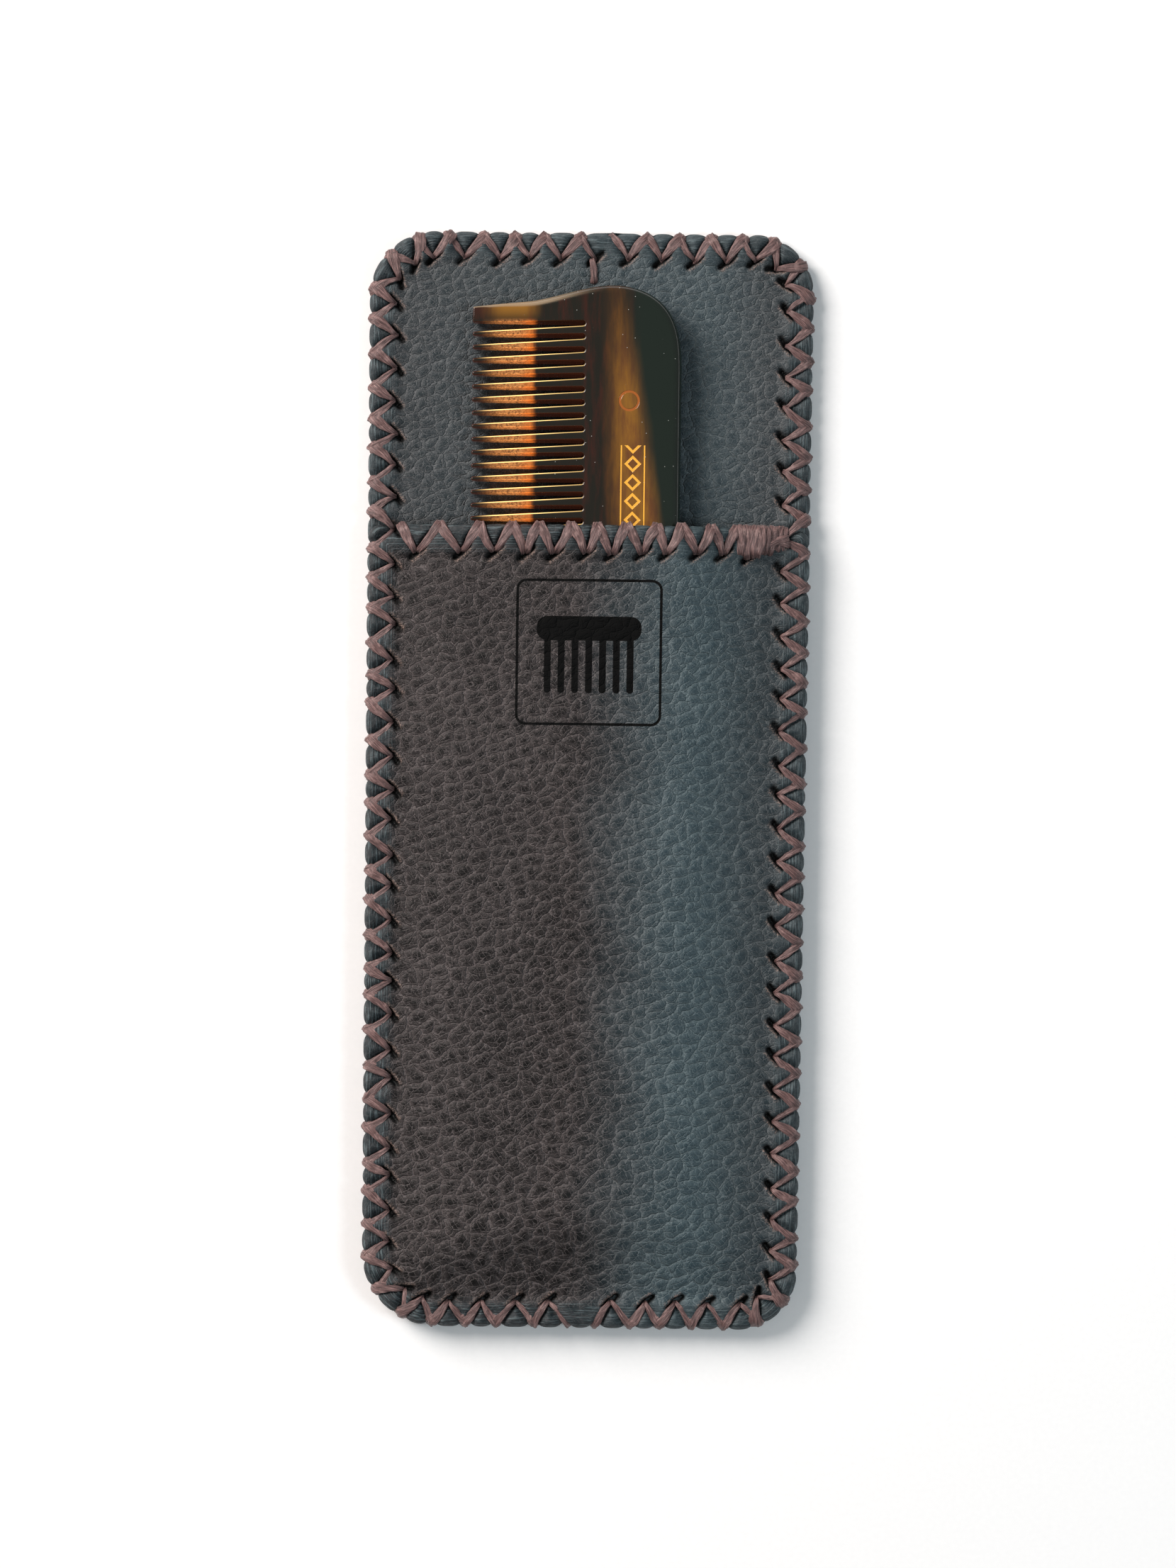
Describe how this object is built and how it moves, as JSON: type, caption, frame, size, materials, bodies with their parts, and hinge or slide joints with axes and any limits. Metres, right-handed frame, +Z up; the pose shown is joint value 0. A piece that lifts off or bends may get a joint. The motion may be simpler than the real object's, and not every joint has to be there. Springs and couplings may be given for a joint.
{
  "type": "comb in sleeve",
  "caption": "Flat coarse-tooth pocket comb with a tapered back, sliding in and out of a rectangular leather sleeve laced round its edges.",
  "frame": {"origin": "middle of the sleeve's flat underside, at the height of the surface it lies on", "axes": "+X across the sleeve towards the comb's spine, +Y along the sleeve towards its open end, +Z up through its thickness; lying flat with the pocket side up"},
  "size_m": [0.0637, 0.1551, 0.0091],
  "materials": {
    "comb_acetate": "polished",
    "leather_back": "satin",
    "leather_lining": "satin",
    "leather_front": "satin",
    "thread_left": "waxed",
    "thread_right": "waxed",
    "thread_mouth": "waxed"
  },
  "bodies": {
    "sleeve": {"back_outer": "leather_back", "back_lining": "leather_lining", "front_panel": "leather_front", "edge_thread_left": "thread_left", "edge_thread_right": "thread_right", "mouth_thread": "thread_mouth"},
    "comb": {"comb": "comb_acetate"}
  },
  "joints": [
    {"name": "comb_slide", "type": "slide", "parent": "sleeve", "child": "comb", "axis": [0, 1, 0], "range_m": [0, 0.1]}
  ]
}
